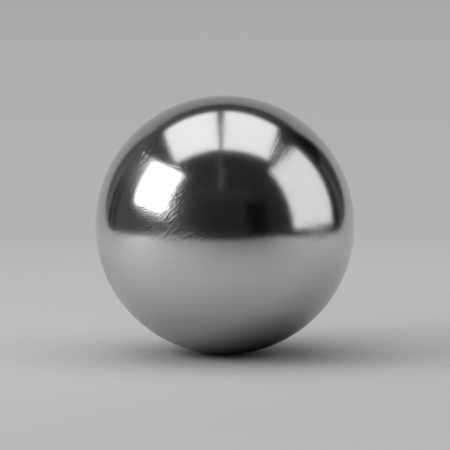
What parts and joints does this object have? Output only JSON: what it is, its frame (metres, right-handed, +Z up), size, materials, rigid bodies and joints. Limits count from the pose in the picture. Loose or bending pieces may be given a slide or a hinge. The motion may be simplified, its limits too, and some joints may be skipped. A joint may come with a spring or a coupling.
{
  "type": "steel ball",
  "caption": "Solid polished steel ball that rolls freely, or sits in a ring, cup or groove, with fine polishing scratches all over.",
  "frame": {"origin": "the centre of the ball", "axes": "+Z is up, away from the surface that the ball touches, and +X and +Y lie level; the ball is the same about all three"},
  "size_m": [0.0508, 0.0508, 0.0508],
  "materials": {
    "polished_steel": "polished"
  },
  "bodies": {
    "root": {"ball": "polished_steel"}
  },
  "joints": []
}
